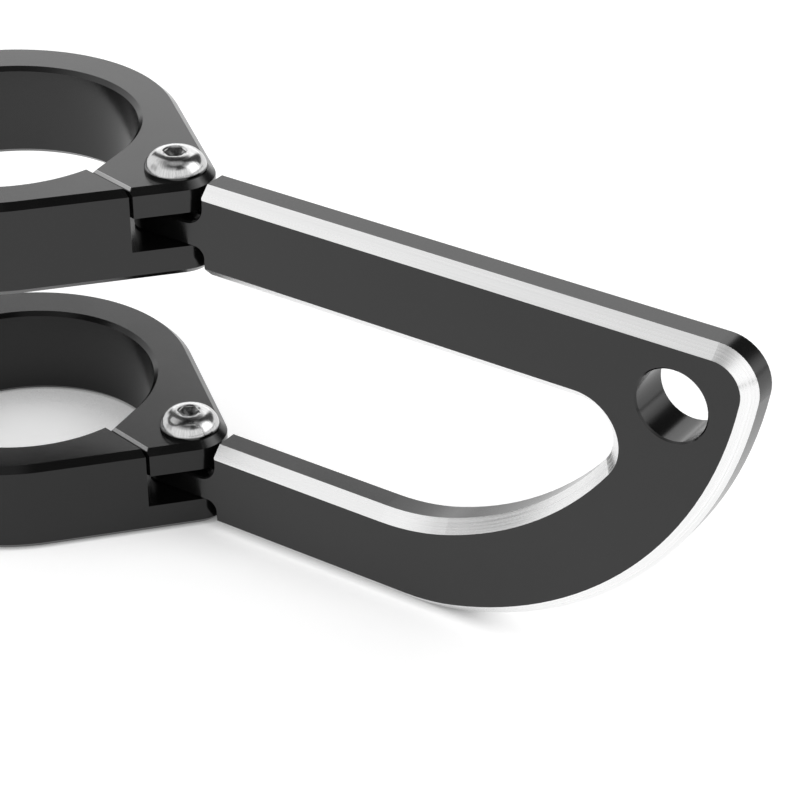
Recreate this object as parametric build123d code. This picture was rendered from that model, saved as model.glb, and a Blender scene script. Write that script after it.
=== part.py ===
from build123d import *
import math
import os

# Fork clamps
fork_tube_diameter = 49.0
bore_clearance = 0.1
clamp_height = 17.5
clamp_wall = 8.9
clamp_outer_shift = 1.33
clamp_edge_chamfer = 1.2
bore_edge_chamfer = 0.8
clamp_pitch = 52.25
bore_radius = fork_tube_diameter / 2 + bore_clearance
clamp_outer_radius = bore_radius + clamp_wall

# Reach of the cutting blocks, and how near two measures must be to match
far_away = 4 * clamp_outer_radius
cut_overrun = 2.0
match = 0.01

# Hinge nose and its ears
pivot_from_bore = 12.7
nose_radius = 6.85
lower_ear_thickness = 5.7
upper_ear_thickness = 5.4
ear_split_angle = 17.6
split_gap = 0.6
ear_tip_run_out = 0.45
ear_tip_break = 0.55
pivot_distance = bore_radius + pivot_from_bore
ear_wall_length = 1.5 * nose_radius

# Pivot screw with a button head
pivot_shank_radius = 3.175
pivot_head_radius = 5.45
pivot_head_height = 3.2
pivot_head_rim = 0.5
pivot_head_flat_radius = 2.35
pivot_crown_radius_share = 0.86
pivot_crown_height_share = 0.6
pivot_socket_across_flats = 3.5
pivot_socket_depth = 2.1
pivot_socket_cone_depth = 0.7
pivot_socket_turn = 30.0
pivot_mouth_radius = 2.2
pivot_mouth_floor_radius = 1.9
pivot_mouth_depth = 0.2
pivot_screw_length = 16.0
pivot_running_clearance = 0.08
thread_clearance = 0.02

# Closing screw with a cap head
closing_shank_radius = 2.08
closing_head_radius = 3.43
closing_head_height = 4.17
closing_socket_across_flats = 3.57
closing_socket_depth = 2.0
closing_seat = 6.5
closing_screw_length = 15.9
closing_hole_spare = 1.5
closing_shank_clearance = 0.15
closing_head_clearance = 0.17
screw_tip_chamfer = 0.5
closing_distance = (bore_radius + clamp_outer_radius + clamp_outer_shift) / 2

# Headlight arm plate
arm_angle = -5.0
arm_thickness = 8.5
arm_chamfer = 2.2
arm_height = clamp_pitch + clamp_height
shoulder_distance = 8.47
outer_curve_radius = 73.05
outer_curve_reach = 114.95
outer_corner_radius = 7.5
slot_curve_radius = 60.8
slot_curve_reach = 99.1
slot_corner_radius = 6.35
curve_dip = 1.1
curve_lead_radius = 40.0
headlight_hole_diameter = 12.7
hole_from_reach = 14.65
hole_from_top = 12.45
hole_rim_chamfer = 0.3
hole_along = outer_curve_reach - hole_from_reach
hole_height = arm_height - hole_from_top

# Hinge tongues of the arm
tongue_lift = 0.1
tongue_thickness = 4.6
tongue_end_centre = 4.5
tongue_edge_break = 0.3
upper_fillet_radius = 3.6
lower_fillet_radius = 1.8


def cylinder(radius, bottom, top, x=0.0, y=0.0):
    """Upright cylinder between two heights."""
    return Pos(x, y, bottom) * extrude(Circle(radius), top - bottom)


def hexagon(across_flats):
    """Hexagon of a given width across its flats."""
    return RegularPolygon(across_flats / 2 / math.cos(math.pi / 6), 6)


def slab(points, bottom, top):
    """Upright prism over a plan outline."""
    return Pos(0, 0, bottom) * extrude(make_face(Polyline(*points, close=True)), top - bottom)


def edge_break(start, end, level, size):
    """Square bar lying on its corner along an edge, whose half diagonal is the break."""
    dx = end[0] - start[0]
    dy = end[1] - start[1]
    side = size * math.sqrt(2)
    bar = Rot(45, 0, 0) * Box(math.hypot(dx, dy), side, side)
    middle = Pos((start[0] + end[0]) / 2, (start[1] + end[1]) / 2, level)
    return middle * Rot(0, 0, math.degrees(math.atan2(dy, dx))) * bar


def on_ray(angle, distance, offset):
    """Plan point on a ray from the fork axis, moved sideways by an offset."""
    a = math.radians(angle)
    x = distance * math.cos(a) - offset * math.sin(a)
    y = distance * math.sin(a) + offset * math.cos(a)
    return (x, y)


def clamp_blank():
    """Ring and nose in one block, bored and chamfered, before it is split."""
    span = pivot_distance + clamp_outer_shift
    lean = math.acos((clamp_outer_radius - nose_radius) / span)
    ring_x = clamp_outer_radius * math.cos(lean) - clamp_outer_shift
    ring_y = clamp_outer_radius * math.sin(lean)
    nose_x = pivot_distance + nose_radius * math.cos(lean)
    nose_y = nose_radius * math.sin(lean)
    rear = (-clamp_outer_shift - clamp_outer_radius, 0)
    front = (pivot_distance + nose_radius, 0)
    edges = [
        ThreePointArc((ring_x, ring_y), rear, (ring_x, -ring_y)),
        Line((ring_x, -ring_y), (nose_x, -nose_y)),
        ThreePointArc((nose_x, -nose_y), front, (nose_x, nose_y)),
        Line((nose_x, nose_y), (ring_x, ring_y)),
    ]
    blank = extrude(make_face(Wire(edges)), clamp_height)
    middle = clamp_height / 2
    rims = [e for e in blank.edges() if abs(abs(e.center().Z - middle) - middle) < match]
    blank = chamfer(rims, clamp_edge_chamfer)
    blank -= cylinder(bore_radius, 0, clamp_height)
    bore_rims = blank.edges().filter_by(GeomType.CIRCLE).filter_by(
        lambda e: abs(e.radius - bore_radius) < match)
    return chamfer(bore_rims, bore_edge_chamfer)


def clamp_half(ear_thickness):
    """Half that carries the lower ear; the other half is the same shape turned over."""
    near = -split_gap / 2
    corner = (-far_away, far_away)
    left = (-far_away, near)
    middle = (0, near)
    split = on_ray(-ear_split_angle, far_away, near)
    tip = on_ray(ear_split_angle, far_away, near)
    right = (far_away, far_away)
    half = clamp_blank()
    half -= slab([left, middle, split, right, corner], ear_thickness, clamp_height + cut_overrun)
    half -= slab([left, middle, tip, right, corner], -cut_overrun, ear_thickness)

    # The ear's inner wall runs out straight past the middle
    start = (bore_radius, 0)
    run_out = (bore_radius + ear_tip_run_out, ear_wall_length)
    inner = (bore_radius - nose_radius, 0)
    inner_out = (inner[0], ear_wall_length)
    half -= slab([inner, start, run_out, inner_out], -cut_overrun, ear_thickness + match)
    half -= edge_break(start, run_out, 0, bore_edge_chamfer)

    # The ear's tip has a broad break on its outer face
    tip_inner = on_ray(ear_split_angle, bore_radius - cut_overrun, near)
    tip_outer = on_ray(ear_split_angle, pivot_distance, near)
    half -= edge_break(tip_inner, tip_outer, 0, ear_tip_break)
    return half


def closing_hole(radius, start, end):
    """Round hole along Y through the rear of a clamp half."""
    hole = Rot(-90, 0, 0) * cylinder(radius, start, end)
    return Pos(-closing_distance, 0, clamp_height / 2) * hole


def front_half():
    """Half with the lower ear: threaded for both screws."""
    half = clamp_half(lower_ear_thickness)
    pivot_hole = pivot_shank_radius + thread_clearance
    half -= cylinder(pivot_hole, -cut_overrun, clamp_height + cut_overrun, pivot_distance)
    depth = closing_seat - closing_screw_length - closing_hole_spare
    half -= closing_hole(closing_shank_radius + thread_clearance, depth, 0)
    return half


def rear_half():
    """Half with the upper ear: plain holes, and a recess for the closing screw's head."""
    half = Pos(0, 0, clamp_height) * Rot(180, 0, 0) * clamp_half(upper_ear_thickness)
    pivot_hole = pivot_shank_radius + pivot_running_clearance
    half -= cylinder(pivot_hole, -cut_overrun, clamp_height + cut_overrun, pivot_distance)
    half -= closing_hole(closing_shank_radius + closing_shank_clearance, 0, closing_seat + match)
    recess = closing_head_radius + closing_head_clearance
    half -= closing_hole(recess, closing_seat, clamp_outer_radius)
    return half


def shank(radius, length):
    """Screw shank below its head, with a chamfered tip."""
    body = Pos(0, 0, -length) * extrude(Circle(radius), length)
    return chamfer(body.edges().group_by(Axis.Z)[0], screw_tip_chamfer)


def pivot_screw():
    """Button head screw with a hexagon socket, seated on the upper ear."""
    rim = (pivot_head_radius, pivot_head_rim)
    flat = (pivot_head_flat_radius, pivot_head_height)
    crown_x = pivot_head_radius * pivot_crown_radius_share
    crown = (crown_x, pivot_head_rim + (pivot_head_height - pivot_head_rim) * pivot_crown_height_share)
    edges = [
        Line((0, 0), (pivot_head_radius, 0)),
        Line((pivot_head_radius, 0), rim),
        ThreePointArc(rim, crown, flat),
        Line(flat, (0, pivot_head_height)),
        Line((0, pivot_head_height), (0, 0)),
    ]
    head = revolve(Plane.XZ * make_face(Wire(edges)), Axis.Z)
    socket = Pos(0, 0, pivot_head_height - pivot_socket_depth)
    opening = Rot(0, 0, pivot_socket_turn) * hexagon(pivot_socket_across_flats)
    head -= socket * extrude(opening, pivot_socket_depth + cut_overrun)
    point = Cone(0, pivot_socket_across_flats / 2, pivot_socket_cone_depth)
    head -= socket * Pos(0, 0, -pivot_socket_cone_depth / 2) * point
    mouth = Cone(pivot_mouth_floor_radius, pivot_mouth_radius, pivot_mouth_depth)
    head -= Pos(0, 0, pivot_head_height - pivot_mouth_depth / 2) * mouth
    screw = head + shank(pivot_shank_radius, pivot_screw_length)
    return Pos(pivot_distance, 0, clamp_height) * screw


def closing_screw():
    """Cap screw sunk into the rear of the clamp, drawing the two halves together."""
    head = extrude(Circle(closing_head_radius), closing_head_height)
    head = chamfer(head.edges().group_by(Axis.Z)[-1], screw_tip_chamfer)
    socket = Pos(0, 0, closing_head_height - closing_socket_depth)
    head -= socket * extrude(hexagon(closing_socket_across_flats), closing_socket_depth + cut_overrun)
    screw = head + shank(closing_shank_radius, closing_screw_length)
    return Pos(-closing_distance, closing_seat, clamp_height / 2) * Rot(-90, 0, 0) * screw


def arc_about(centre, start, end):
    """Arc about a centre, the short way from one point to the other."""
    mid_x = (start[0] + end[0]) / 2 - centre[0]
    mid_z = (start[1] + end[1]) / 2 - centre[1]
    radius = math.hypot(start[0] - centre[0], start[1] - centre[1])
    grow = radius / math.hypot(mid_x, mid_z)
    return ThreePointArc(start, (centre[0] + mid_x * grow, centre[1] + mid_z * grow), end)


def curved_side(radius, reach, low, high, lead, corner):
    """Bar edge along a low line, a lead-in arc, the great curve, a corner and a high line.

    The great curve reaches out to one distance and would dip a little below the low line.
    Each small arc touches its line and touches the great curve from inside.
    """
    centre = (reach - radius, low + radius - curve_dip)
    lead_rise = centre[1] - low - lead
    lead_x = centre[0] + math.sqrt((radius - lead) ** 2 - lead_rise ** 2)
    corner_rise = centre[1] - high + corner
    corner_x = centre[0] + math.sqrt((radius - corner) ** 2 - corner_rise ** 2)
    lead_centre = (lead_x, low + lead)
    corner_centre = (corner_x, high - corner)
    grow = radius / (radius - lead)
    onto = (centre[0] + (lead_x - centre[0]) * grow, centre[1] - lead_rise * grow)
    grow = radius / (radius - corner)
    off = (centre[0] + (corner_x - centre[0]) * grow, centre[1] - corner_rise * grow)
    return [
        Line((0, low), (lead_x, low)),
        arc_about(lead_centre, (lead_x, low), onto),
        arc_about(centre, onto, off),
        arc_about(corner_centre, off, (corner_x, high)),
        Line((corner_x, high), (0, high)),
    ]


def side_plate(edges, half_thickness):
    """Plate over a side outline drawn with the arm's length across and its height up."""
    return extrude(Plane.XZ * make_face(Wire(edges)), half_thickness, both=True)


def tongue(level):
    """Hinge tongue with a round end past the pivot and a fillet to the bar on both faces."""
    bottom = level + lower_ear_thickness + tongue_lift
    top = bottom + tongue_thickness
    half = arm_thickness / 2
    root = shoulder_distance + half
    length = root + tongue_end_centre
    plan = Pos(root - length / 2, 0) * Rectangle(length, arm_thickness)
    plan += Pos(-tongue_end_centre, 0) * Circle(half)
    body = Pos(0, 0, bottom) * extrude(plan, tongue_thickness)
    for radius, face, side in ((upper_fillet_radius, top, 1), (lower_fillet_radius, bottom, -1)):
        start = (shoulder_distance - radius, face)
        end = (shoulder_distance, face + side * radius)
        centre = (start[0], end[1])
        edges = [
            arc_about(centre, start, end),
            Line(end, (root, end[1])),
            Line((root, end[1]), (root, face)),
            Line((root, face), start),
        ]
        body += side_plate(edges, half)
    return body


def tongue_edges(plate):
    """Long edges of both tongues: along the sides, round the end and up the fillets."""
    boxes = [(e, e.bounding_box()) for e in plate.edges()]
    return [e for e, box in boxes if box.max.X < shoulder_distance + match and box.size.X > match]


def arm_plate():
    """D-shaped plate with a slot open to the hinge, chamfered all round on both faces."""
    outer = curved_side(outer_curve_radius, outer_curve_reach, 0, arm_height,
                        curve_lead_radius, outer_corner_radius)
    slot = curved_side(slot_curve_radius, slot_curve_reach, clamp_height, clamp_pitch,
                       curve_lead_radius, slot_corner_radius)
    outline = outer + [Line((0, arm_height), (0, clamp_pitch))] + slot[::-1]
    outline = outline + [Line((0, clamp_height), (0, 0))]
    plate = side_plate(outline, arm_thickness / 2)
    faces = plate.faces().filter_by(Axis.Y)
    plate = chamfer(faces.edges(), arm_chamfer)

    # The bars end squarely at the shoulders
    plate -= Box(2 * shoulder_distance, far_away, 2 * far_away)

    for level in (0, clamp_pitch):
        plate += tongue(level)
    plate = chamfer(tongue_edges(plate), tongue_edge_break)
    pivot_hole = pivot_shank_radius + pivot_running_clearance
    plate -= cylinder(pivot_hole, 0, arm_height)

    # Headlight bolt hole with a lightly broken rim on both faces
    hole_radius = headlight_hole_diameter / 2
    bolt_hole = extrude(Plane.XZ * Circle(hole_radius), arm_thickness, both=True)
    plate -= Pos(hole_along, 0, hole_height) * bolt_hole
    rims = [e for e in plate.edges().filter_by(GeomType.CIRCLE) if abs(e.arc_center.X - hole_along) < match]
    plate = chamfer(rims, hole_rim_chamfer)
    return Pos(pivot_distance, 0, 0) * Rot(0, 0, arm_angle) * plate


def write(shape, node):
    """Write one node's file, with the origin at the centre of the lower clamp's bore."""
    export_step(Pos(0, 0, -clamp_height / 2) * shape, "parts/" + node + ".step")


os.makedirs("parts", exist_ok=True)
write(arm_plate(), "arm_plate")
for name, level in (("lower", 0.0), ("upper", clamp_pitch)):
    lift = Pos(0, 0, level)
    write(lift * front_half(), name + "_clamp_front_half")
    write(lift * rear_half(), name + "_clamp_rear_half")
    write(lift * pivot_screw(), name + "_pivot_screw")
    write(lift * closing_screw(), name + "_closing_screw")
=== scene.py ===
import math

import bpy
from mathutils import Matrix, Vector

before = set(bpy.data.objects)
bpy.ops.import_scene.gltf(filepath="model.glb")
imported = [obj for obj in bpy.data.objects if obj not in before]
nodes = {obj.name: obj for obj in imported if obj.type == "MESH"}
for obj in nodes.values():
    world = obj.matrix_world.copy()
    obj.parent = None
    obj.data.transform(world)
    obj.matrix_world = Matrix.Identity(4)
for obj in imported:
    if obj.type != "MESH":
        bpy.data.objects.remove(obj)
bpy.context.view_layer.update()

# Real sizes in metres, from the bracket's own frame
PIVOT_X = 0.0373
ARM_ANGLE = math.radians(-5.0)
ARM_HALF = 0.00425
ARM_CHAMFER = 0.0022
SHOULDER = 0.00847
HOLE_ALONG = 0.1003
HOLE_UP = 0.04855
HOLE_RADIUS = 0.00635
HOLE_MARGIN = 0.0005
CLAMP_HALF = 0.00875
CLAMP_PITCH = 0.05225
LOWER_TOP = CLAMP_HALF
UPPER_TOP = CLAMP_HALF + CLAMP_PITCH
SPLIT_ANGLE = math.radians(17.6)
SPLIT_EDGE = 0.00095
SPLIT_EDGE_SOFT = 0.00004
BARE_DEPTH_FULL = 0.0004
BARE_DEPTH_NONE = 0.00047
# Heights above the clamp top over which painted shade darkens the screw heads' rim
RIM_SHADE_FULL = 0.0004
RIM_SHADE_NONE = 0.0008
OFF_FACE = 0.00001
NO_RADIUS = 0.0001

# Noise of the grain, the cutter lines and the turned lines: scale, detail and roughness
SPECKLE = (9000.0, 3.0, 0.6)
PATCH = (90.0, 2.0, 0.5)
CUTTER = (3000.0, 1.0, 0.5)
TURNED = (20.0, 2.0, 0.6)
MIDDLE = 0.5
CUTTER_STRETCH = 0.006
CUTTER_DEPTH = 0.2
TURNED_STEP = 60.0

# Parts of each noise's range over which a look changes
GRAIN_SPAN = (0.2, 0.8)
LINE_GREY_SPAN = (0.3, 0.7)
LINE_ROUGH_SPAN = (0.25, 0.75)

# Black aluminium, bare aluminium and steel, as linear greys and roughness
BLACK_SPREAD = 0.002
UPPER_BLACK = 0.0045
# Painted shade: the lower clamp's grey is darker than the upper's, for the shade the upper clamp casts on
# it
LOWER_SHADED_BLACK = 0.004
REAR_BLACK = 0.0045
ARM_BLACK = 0.005
UPPER_INDEX = 1.5
# Painted shade: a lower index than the upper clamp's dims the lower clamp's reflections
LOWER_SHADED_INDEX = 1.43
FRONT_ROUGH = (0.14, 0.19)
REAR_ROUGH = (0.15, 0.21)
ARM_ROUGH = (0.14, 0.2)
CUT_ROUGH = (0.19, 0.3)
STEEL_ROUGH = (0.13, 0.18)
TURNED_ROUGH = 0.08
WORN_GREY = (0.30, 0.44)
CUT_GREY = (0.82, 0.90)
STEEL_GREY = (0.50, 0.60)
# Dark grey painted on the screw heads' rim as shade
RIM_SHADE_GREY = 0.05
BLACK_BUMP = (0.12, 0.00004)
STEEL_BUMP = (0.08, 0.00002)
BLACK_SPECKLE = 0.5
STEEL_SPECKLE = 0.4
PATCHES = 1.0

# Floor: half its width, how far under the clamp it lies, its grey, and its shade by how open the sky is
FLOOR_REACH = 6.0
FLOOR_DROP = 0.00005
FLOOR_GREY = 0.6
OPEN_SAMPLES = 8
OPEN_DISTANCE = 0.12
OPEN_SPAN = (0.1, 0.53)
SHADE_SPAN = (0.1, 0.68)

# Studio walls: elevation in degrees where they start and stop falling off, and their strength at each
DEGREES = 180.0 / math.pi
WALL_FALL = (40.0, 72.0)
WALL_STRENGTH = (1.17, 0.18)
OVERHEAD_RISE = (69.0, 77.0)
OVERHEAD_STRENGTH = 0.42

# Dark gaps: middle, half width, low edge and high edge in degrees, strength, softness in degrees
GAPS = (
    (-30.0, 24.0, 44.0, 100.0, 0.9, 6.0),
    (-95.0, 30.0, 43.0, 100.0, 0.28, 7.0),
    (-85.0, 45.0, 58.0, 100.0, 0.5, 4.0),
    (74.0, 21.0, 13.0, 100.0, 0.94, 3.0),
    (124.0, 28.0, 12.0, 100.0, 0.93, 4.0),
    (0.0, 62.0, -20.0, 4.0, 0.62, 3.0),
    (-152.0, 16.0, 10.0, 34.0, 0.4, 6.0),
)

# Lit panels: the same, then how much the high edge slants
PANELS = (
    (118.0, 20.0, 8.0, 36.0, 1.46, 2.2, 0.5),
    (118.0, 20.0, 29.0, 36.2, 0.32, 1.6, 0.5),
    (22.0, 22.0, 7.0, 54.0, 1.0, 4.0, 0.0),
    (28.0, 13.0, 30.0, 46.0, 1.3, 4.0, 0.0),
)

# Camera: focal length and shifts in picture pixels, place in metres, turns in radians
PICTURE_WIDTH = 800.0
SENSOR_WIDTH = 36.0
FOCAL_PIXELS = 2626.3
SHIFT_PIXELS = (-0.5, 40.5)
CLIP = (0.01, 100.0)
CAMERA_PLACE = (0.26985, -0.33938, 0.26930 - CLAMP_HALF)
PITCH = 0.557268
ROLL = -0.004538
YAW = 0.506844


def math_node(tree, kind, a, b=None, clamp=False):
    """Math node whose inputs are numbers or sockets; returns its output."""
    node = tree.nodes.new("ShaderNodeMath")
    node.operation = kind
    node.use_clamp = clamp
    for i, value in enumerate((a, b)):
        if value is None:
            continue
        if isinstance(value, (int, float)):
            node.inputs[i].default_value = value
        else:
            tree.links.new(value, node.inputs[i])
    return node.outputs[0]


def plus(tree, a, b, clamp=False):
    """Sum of two numbers or sockets."""
    return math_node(tree, "ADD", a, b, clamp)


def minus(tree, a, b):
    """First number or socket less the second."""
    return math_node(tree, "SUBTRACT", a, b)


def times(tree, a, b):
    """Product of two numbers or sockets."""
    return math_node(tree, "MULTIPLY", a, b)


def over(tree, a, b):
    """One where the first is greater than the second, else nothing."""
    return math_node(tree, "GREATER_THAN", a, b)


def length(tree, a, b):
    """Root of the sum of two squares."""
    return math_node(tree, "SQRT", plus(tree, times(tree, a, a), times(tree, b, b)))


def ramp_node(tree, value, low, high, to_low=0.0, to_high=1.0, smooth=True):
    """Map Range node from one span to another; returns its output."""
    node = tree.nodes.new("ShaderNodeMapRange")
    node.interpolation_type = "SMOOTHSTEP" if smooth else "LINEAR"
    tree.links.new(value, node.inputs["Value"])
    node.inputs["From Min"].default_value = low
    node.inputs["From Max"].default_value = high
    node.inputs["To Min"].default_value = to_low
    node.inputs["To Max"].default_value = to_high
    return node.outputs["Result"]


def blend(tree, factor, a, b):
    """Value mix of two sockets by a factor; returns its output."""
    node = tree.nodes.new("ShaderNodeMix")
    tree.links.new(factor, node.inputs[0])
    tree.links.new(a, node.inputs[2])
    tree.links.new(b, node.inputs[3])
    return node.outputs[0]


def mix_colour(tree, factor, a, b):
    """Colour mix of two colours or sockets by a factor; returns its output."""
    node = tree.nodes.new("ShaderNodeMix")
    node.data_type = "RGBA"
    tree.links.new(factor, node.inputs[0])
    for i, value in ((6, a), (7, b)):
        if isinstance(value, tuple):
            node.inputs[i].default_value = value
        else:
            tree.links.new(value, node.inputs[i])
    return node.outputs[2]


def grey(level):
    """Neutral colour of one linear level."""
    return (level, level, level, 1.0)


def noise(tree, vector, scale, detail, rough):
    """Noise texture on given coordinates; returns its value output."""
    node = tree.nodes.new("ShaderNodeTexNoise")
    node.noise_dimensions = "3D"
    node.inputs["Scale"].default_value = scale
    node.inputs["Detail"].default_value = detail
    node.inputs["Roughness"].default_value = rough
    tree.links.new(vector, node.inputs["Vector"])
    return node.outputs[0]


def object_coordinates(tree):
    """Coordinates of the bracket's own frame, as one vector."""
    return tree.nodes.new("ShaderNodeTexCoord").outputs["Object"]


def split_vector(tree, vector):
    """The three parts of a vector."""
    node = tree.nodes.new("ShaderNodeSeparateXYZ")
    tree.links.new(vector, node.inputs[0])
    return node.outputs[0], node.outputs[1], node.outputs[2]


def join_vector(tree, x, y, z):
    """Vector of three sockets; returns its output."""
    node = tree.nodes.new("ShaderNodeCombineXYZ")
    for i, value in enumerate((x, y, z)):
        tree.links.new(value, node.inputs[i])
    return node.outputs[0]


def group(name, inputs, outputs):
    """New shader node group with named float inputs and float outputs."""
    tree = bpy.data.node_groups.new(name, "ShaderNodeTree")
    for label, default in inputs:
        socket = tree.interface.new_socket(label, in_out="INPUT", socket_type="NodeSocketFloat")
        socket.default_value = default
    for label in outputs:
        tree.interface.new_socket(label, in_out="OUTPUT", socket_type="NodeSocketFloat")
    start = tree.nodes.new("NodeGroupInput")
    end = tree.nodes.new("NodeGroupOutput")
    return tree, start.outputs, end.inputs


def place(tree, shared, *values):
    """Outputs of a shared node group placed in a material's tree with the values given for its inputs."""
    node = tree.nodes.new("ShaderNodeGroup")
    node.node_tree = shared
    for i, value in enumerate(values):
        node.inputs[i].default_value = value
    return node.outputs


def make_fine_grain():
    """Group: blasted surface grain, with slow patches and a fine speckle, as a mask and a height."""
    tree, given, result = group("fine_grain", [("Speckle", 1.0), ("Patches", 1.0)], ["Mask", "Height"])
    coord = object_coordinates(tree)
    fine = noise(tree, coord, *SPECKLE)
    slow = noise(tree, coord, *PATCH)
    fine_part = times(tree, minus(tree, fine, MIDDLE), given[0])
    slow_part = times(tree, minus(tree, slow, MIDDLE), given[1])
    tree.links.new(plus(tree, plus(tree, fine_part, slow_part), MIDDLE, clamp=True), result[0])
    tree.links.new(fine, result[1])
    return tree


def make_arm_places():
    """Group: distances along the arm, across its thickness and up, from the pivot, in metres."""
    tree, _, result = group("arm_places", [], ["Along", "Across", "Up"])
    x, y, z = split_vector(tree, object_coordinates(tree))
    x = minus(tree, x, PIVOT_X)
    cos, sin = math.cos(ARM_ANGLE), math.sin(ARM_ANGLE)
    tree.links.new(plus(tree, times(tree, x, cos), times(tree, y, sin)), result[0])
    tree.links.new(minus(tree, times(tree, y, cos), times(tree, x, sin)), result[1])
    tree.links.new(z, result[2])
    return tree


def make_split_edges():
    """Group: mask of the breaks along the split, where the black has come off; one on the bare strip."""
    tree, given, result = group("split_edges", [("Top", 0.0)], ["Mask"])
    x, y, z = split_vector(tree, object_coordinates(tree))
    behind = plus(tree, times(tree, x, math.sin(SPLIT_ANGLE)), times(tree, y, math.cos(SPLIT_ANGLE)))
    below = minus(tree, given[0], z)
    slope = plus(tree, behind, below)
    strip = ramp_node(tree, slope, SPLIT_EDGE - SPLIT_EDGE_SOFT, SPLIT_EDGE + SPLIT_EDGE_SOFT, 1.0, 0.0)
    near_top = ramp_node(tree, below, BARE_DEPTH_FULL, BARE_DEPTH_NONE, 1.0, 0.0)
    at_hinge = over(tree, x, 0.0)
    tree.links.new(times(tree, times(tree, strip, near_top), at_hinge), result[0])
    return tree


def make_turned_lines():
    """Group: streaks fanning out from the pivot screws' axis, and the height above the nearer clamp."""
    tree, _, result = group("turned_lines", [], ["Streaks", "Above"])
    x, y, z = split_vector(tree, object_coordinates(tree))
    x = minus(tree, x, PIVOT_X)
    out = math_node(tree, "MAXIMUM", length(tree, x, y), NO_RADIUS)
    step = times(tree, out, TURNED_STEP)
    fan = join_vector(tree, math_node(tree, "DIVIDE", x, out), math_node(tree, "DIVIDE", y, out), step)
    tree.links.new(noise(tree, fan, *TURNED), result[0])
    low = minus(tree, z, LOWER_TOP)
    high = minus(tree, low, CLAMP_PITCH)
    tree.links.new(blend(tree, over(tree, z, CLAMP_PITCH), low, high), result[1])
    return tree


fine_grain = make_fine_grain()
arm_places = make_arm_places()
split_edges = make_split_edges()
turned_lines = make_turned_lines()


def new_material(name):
    """Empty node material with an output and a Principled shader."""
    mat = bpy.data.materials.new(name)
    mat.use_nodes = True
    tree = mat.node_tree
    tree.nodes.clear()
    out = tree.nodes.new("ShaderNodeOutputMaterial")
    shader = tree.nodes.new("ShaderNodeBsdfPrincipled")
    tree.links.new(shader.outputs[0], out.inputs[0])
    return mat, tree, shader


def set_bump(tree, shader, height, look):
    """Bump node, of a given strength and distance, feeding a shader's normal."""
    node = tree.nodes.new("ShaderNodeBump")
    node.inputs["Strength"].default_value, node.inputs["Distance"].default_value = look
    tree.links.new(height, node.inputs["Height"])
    tree.links.new(node.outputs[0], shader.inputs["Normal"])


def grained(tree, mask, span):
    """Roughness that goes from one end of a span to the other with the grain."""
    return ramp_node(tree, mask, *GRAIN_SPAN, *span)


def between_greys(tree, factor, span):
    """Neutral colour that goes from one end of a span of greys to the other by a factor."""
    return mix_colour(tree, factor, grey(span[0]), grey(span[1]))


def black_colour(tree, mask, base):
    """Black anodised tone that drifts a little with the grain."""
    return between_greys(tree, mask, (base - BLACK_SPREAD, base + BLACK_SPREAD))


def make_front_half(name, base, index):
    """Black anodised aluminium: blasted grain, slow patches of roughness and a faint tone drift."""
    mat, tree, shader = new_material(name)
    mask, height = place(tree, fine_grain, BLACK_SPECKLE, PATCHES)
    tree.links.new(black_colour(tree, mask, base), shader.inputs["Base Color"])
    tree.links.new(grained(tree, mask, FRONT_ROUGH), shader.inputs["Roughness"])
    shader.inputs["Metallic"].default_value = 0.0
    shader.inputs["IOR"].default_value = index
    set_bump(tree, shader, height, BLACK_BUMP)
    return mat


def make_rear_half(name, top, index):
    """Clamp finish whose split edge has worn to metal, under a clamp top at a given height."""
    mat, tree, shader = new_material(name)
    mask, height = place(tree, fine_grain, BLACK_SPECKLE, PATCHES)
    worn = place(tree, split_edges, top)[0]
    bare = between_greys(tree, mask, WORN_GREY)
    colour = mix_colour(tree, worn, black_colour(tree, mask, REAR_BLACK), bare)
    tree.links.new(colour, shader.inputs["Base Color"])
    tree.links.new(worn, shader.inputs["Metallic"])
    tree.links.new(grained(tree, mask, REAR_ROUGH), shader.inputs["Roughness"])
    shader.inputs["IOR"].default_value = index
    set_bump(tree, shader, height, BLACK_BUMP)
    return mat


def make_arm_finish():
    """Black anodised plate whose chamfers are cut back to bright metal, with cutter lines along them."""
    mat, tree, shader = new_material("arm_anodised_with_cut_edges")
    mask, height = place(tree, fine_grain, BLACK_SPECKLE, PATCHES)
    along, across, up = place(tree, arm_places)

    # The cut lies within the chamfers, past the shoulder and clear of the hole
    depth = math_node(tree, "ABSOLUTE", across)
    inner = over(tree, depth, ARM_HALF - ARM_CHAMFER + OFF_FACE)
    outer = math_node(tree, "LESS_THAN", depth, ARM_HALF - OFF_FACE)
    past = over(tree, along, SHOULDER + OFF_FACE)
    away = length(tree, minus(tree, along, HOLE_ALONG), minus(tree, up, HOLE_UP))
    clear = over(tree, away, HOLE_RADIUS + HOLE_MARGIN)
    cut = times(tree, times(tree, inner, outer), times(tree, past, clear))

    # Cutter lines run along the chamfer, so they change fast across it and slowly along it
    lay = join_vector(tree, times(tree, along, CUTTER_STRETCH), across, times(tree, up, CUTTER_STRETCH))
    lines = noise(tree, lay, *CUTTER)
    bright = between_greys(tree, ramp_node(tree, lines, *LINE_GREY_SPAN), CUT_GREY)
    colour = mix_colour(tree, cut, black_colour(tree, mask, ARM_BLACK), bright)
    tree.links.new(colour, shader.inputs["Base Color"])
    tree.links.new(cut, shader.inputs["Metallic"])
    satin = grained(tree, mask, ARM_ROUGH)
    cut_rough = ramp_node(tree, lines, *LINE_ROUGH_SPAN, *CUT_ROUGH)
    tree.links.new(blend(tree, cut, satin, cut_rough), shader.inputs["Roughness"])
    set_bump(tree, shader, blend(tree, cut, height, times(tree, lines, CUTTER_DEPTH)), BLACK_BUMP)
    return mat


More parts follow.
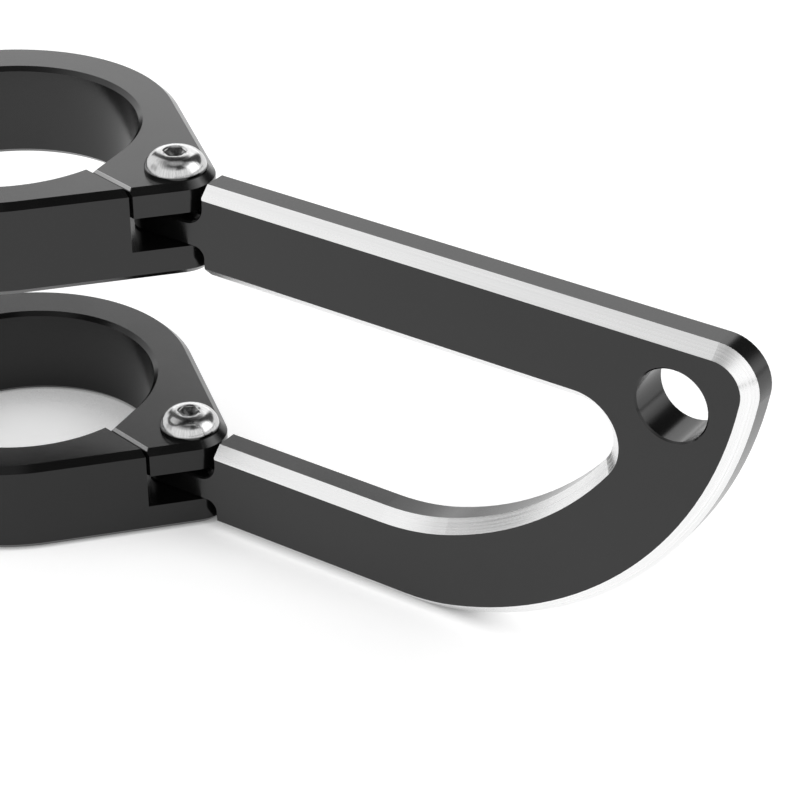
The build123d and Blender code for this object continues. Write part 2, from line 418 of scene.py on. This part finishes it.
def make_steel(name):
    """Polished stainless steel with a faint turned grain, its rim darkened by painted shade where the
    head sits on the clamp.
    """
    mat, tree, shader = new_material(name)
    mask, height = place(tree, fine_grain, STEEL_SPECKLE, PATCHES)
    streaks, above = place(tree, turned_lines)
    shine = between_greys(tree, ramp_node(tree, streaks, *LINE_GREY_SPAN), STEEL_GREY)
    # Painted shade: the head's rim just above the clamp top turns dark grey
    unshaded = ramp_node(tree, above, RIM_SHADE_FULL, RIM_SHADE_NONE)
    tree.links.new(mix_colour(tree, unshaded, grey(RIM_SHADE_GREY), shine), shader.inputs["Base Color"])
    rough = plus(tree, grained(tree, mask, STEEL_ROUGH), times(tree, streaks, TURNED_ROUGH))
    tree.links.new(rough, shader.inputs["Roughness"])
    shader.inputs["Metallic"].default_value = 1.0
    set_bump(tree, shader, height, STEEL_BUMP)
    return mat


steel = make_steel("polished_steel")
finishes = {
    "arm_plate": make_arm_finish(),
    "upper_clamp_front_half": make_front_half("clamp_anodised_upper_front", UPPER_BLACK, UPPER_INDEX),
    # The lower clamp's two halves are shaded copies: a darker grey and a lower index stand in for the
    # shade they sit in
    "lower_clamp_front_half": make_front_half("clamp_anodised_lower_front_painted_shade", LOWER_SHADED_BLACK, LOWER_SHADED_INDEX),
    "upper_clamp_rear_half": make_rear_half("clamp_anodised_upper_rear", UPPER_TOP, UPPER_INDEX),
    "lower_clamp_rear_half": make_rear_half("clamp_anodised_lower_rear_painted_shade", LOWER_TOP, LOWER_SHADED_INDEX),
}
for name, obj in nodes.items():
    obj.data.materials.clear()
    obj.data.materials.append(finishes.get(name, steel))


def make_floor_white():
    """White paper: part plain diffuse, part white to camera and mirrors, dimmer under the bracket."""
    mat = bpy.data.materials.new("floor_white")
    mat.use_nodes = True
    tree = mat.node_tree
    tree.nodes.clear()
    out = tree.nodes.new("ShaderNodeOutputMaterial")
    diffuse = tree.nodes.new("ShaderNodeBsdfDiffuse")
    diffuse.inputs[0].default_value = grey(FLOOR_GREY)
    glow = tree.nodes.new("ShaderNodeEmission")
    glow.inputs[0].default_value = grey(1.0)
    path = tree.nodes.new("ShaderNodeLightPath")
    seen = math_node(tree, "MAXIMUM", path.outputs["Is Camera Ray"], path.outputs["Is Glossy Ray"])
    seen = math_node(tree, "MAXIMUM", seen, path.outputs["Is Transmission Ray"])
    open_sky = tree.nodes.new("ShaderNodeAmbientOcclusion")
    open_sky.samples = OPEN_SAMPLES
    open_sky.inputs["Distance"].default_value = OPEN_DISTANCE
    shade = ramp_node(tree, open_sky.outputs["AO"], *OPEN_SPAN, *SHADE_SPAN, smooth=False)
    tree.links.new(times(tree, seen, shade), glow.inputs[1])
    both = tree.nodes.new("ShaderNodeAddShader")
    tree.links.new(diffuse.outputs[0], both.inputs[0])
    tree.links.new(glow.outputs[0], both.inputs[1])
    tree.links.new(both.outputs[0], out.inputs[0])
    return mat


# Floor: white, and it keeps the bracket's shadow
floor_mesh = bpy.data.meshes.new("floor")
floor_level = -CLAMP_HALF - FLOOR_DROP
signs = ((-1, -1), (1, -1), (1, 1), (-1, 1))
floor_corners = [(FLOOR_REACH * i, FLOOR_REACH * j, floor_level) for i, j in signs]
floor_mesh.from_pydata(floor_corners, [], [(0, 1, 2, 3)])
floor = bpy.data.objects.new("floor", floor_mesh)
bpy.context.scene.collection.objects.link(floor)
floor_mesh.materials.append(make_floor_white())

# Studio: walls brightest low down, lit panels behind, to the right and overhead, and dark gaps between
world = bpy.data.worlds.new("studio")
bpy.context.scene.world = world
world.use_nodes = True
studio = world.node_tree
studio.nodes.clear()
world_out = studio.nodes.new("ShaderNodeOutputWorld")
world_back = studio.nodes.new("ShaderNodeBackground")
studio.links.new(world_back.outputs[0], world_out.inputs[0])
toward = studio.nodes.new("ShaderNodeTexCoord").outputs["Generated"]
toward_x, toward_y, toward_z = split_vector(studio, toward)
elevation = times(studio, math_node(studio, "ARCSINE", toward_z), DEGREES)


def turn_from(middle):
    """Angle in degrees, level around, from one direction in plan to the one looked along."""
    cos, sin = math.cos(math.radians(middle)), math.sin(math.radians(middle))
    on = plus(studio, times(studio, toward_x, cos), times(studio, toward_y, sin))
    side = minus(studio, times(studio, toward_y, cos), times(studio, toward_x, sin))
    return times(studio, math_node(studio, "ARCTAN2", side, on), DEGREES)


def panel(middle, half, low, high, strength, soft, slant=0.0):
    """Soft-edged patch of the studio: a strength inside its edges, falling to nothing over each."""
    turn = turn_from(middle)
    slanted = elevation
    if slant:
        slanted = plus(studio, elevation, times(studio, turn, slant))
    left = ramp_node(studio, turn, -half - soft, -half + soft)
    right = ramp_node(studio, turn, half - soft, half + soft, 1.0, 0.0)
    bottom = ramp_node(studio, elevation, low - soft, low + soft)
    top = ramp_node(studio, slanted, high - soft, high + soft, 1.0, 0.0)
    return times(studio, times(studio, bottom, top), times(studio, times(studio, left, right), strength))


light = ramp_node(studio, elevation, *WALL_FALL, *WALL_STRENGTH, smooth=False)
for gap in GAPS:
    light = times(studio, light, minus(studio, 1.0, panel(*gap)))
for lit in PANELS:
    light = plus(studio, light, panel(*lit))
light = plus(studio, light, ramp_node(studio, elevation, *OVERHEAD_RISE, 0.0, OVERHEAD_STRENGTH))

# Past the floor's edge the camera sees plain white
direct = studio.nodes.new("ShaderNodeLightPath").outputs["Is Camera Ray"]
light = plus(studio, times(studio, light, minus(studio, 1.0, direct)), direct)
studio.links.new(light, world_back.inputs["Strength"])
world_back.inputs["Color"].default_value = grey(1.0)

# Camera: a long lens above and in front, on the arm's side
cam_data = bpy.data.cameras.new("camera")
cam_data.sensor_width = SENSOR_WIDTH
cam_data.lens = FOCAL_PIXELS * SENSOR_WIDTH / PICTURE_WIDTH
cam_data.shift_x = SHIFT_PIXELS[0] / PICTURE_WIDTH
cam_data.shift_y = SHIFT_PIXELS[1] / PICTURE_WIDTH
cam_data.clip_start, cam_data.clip_end = CLIP
camera = bpy.data.objects.new("camera", cam_data)
bpy.context.scene.collection.objects.link(camera)
level_right = Vector((math.cos(YAW), math.sin(YAW), 0.0))
level_ahead = Vector((-math.sin(YAW), math.cos(YAW), 0.0))
upright = Vector((0.0, 0.0, 1.0))
ahead = level_ahead * math.cos(PITCH) - upright * math.sin(PITCH)
level_up = level_ahead * math.sin(PITCH) + upright * math.cos(PITCH)
right = level_right * math.cos(ROLL) + level_up * math.sin(ROLL)
up = level_up * math.cos(ROLL) - level_right * math.sin(ROLL)
turn = Matrix((right, up, -ahead)).transposed().to_4x4()
camera.matrix_world = Matrix.Translation(CAMERA_PLACE) @ turn
bpy.context.scene.camera = camera
bpy.context.scene.view_settings.view_transform = "Standard"
